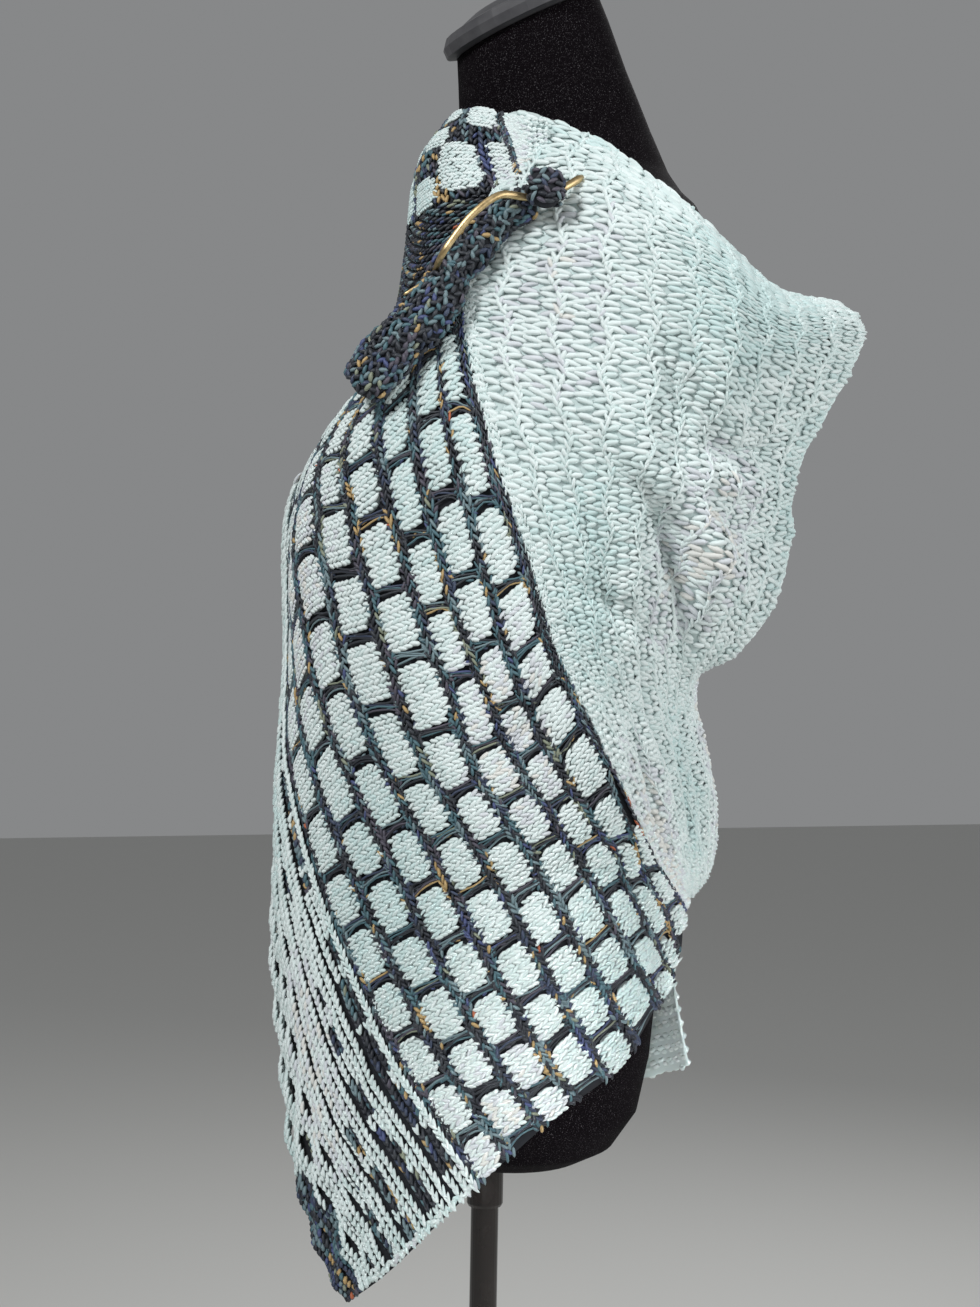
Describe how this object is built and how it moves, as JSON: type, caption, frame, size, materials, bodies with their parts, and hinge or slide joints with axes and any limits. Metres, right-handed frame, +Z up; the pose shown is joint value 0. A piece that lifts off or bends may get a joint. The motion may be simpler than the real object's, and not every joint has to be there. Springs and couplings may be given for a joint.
{
  "type": "knitted shawl on dress form",
  "caption": "Hand-knit shawl with a raised brick pattern, draped over one shoulder of a limbless dress form on a stand and closed with a bent metal pin and a knitted knob.",
  "frame": {"origin": "centre of the stand's foot where it meets the floor, on the pole's axis", "axes": "+Z up along the pole, -Y the way the dress form faces, +X towards the form's own left side"},
  "size_m": [0.383, 0.3928, 1.437],
  "materials": {
    "pale_yarn": "chunky knitted wool, pale mint to ice blue",
    "dark_yarn": "chunky knitted wool, variegated navy, teal and charcoal with gold flecks",
    "black_velvet": "velvet",
    "charcoal_plastic": "satin",
    "dark_metal": "gloss",
    "brass": "satin"
  },
  "bodies": {
    "root": {"stand_base": "dark_metal", "pole": "dark_metal", "pole_ferrule": "charcoal_plastic", "dress_form": "black_velvet", "neck_cap": "charcoal_plastic", "panel_pale": "pale_yarn", "panel_brick": "pale_yarn", "panel_inverse": "dark_yarn", "border_dark": "dark_yarn", "panel_back": "pale_yarn", "collar_brick": "pale_yarn", "collar_border": "dark_yarn", "collar_roll": "dark_yarn", "pin_knob": "dark_yarn", "shawl_pin": "brass"}
  },
  "joints": []
}
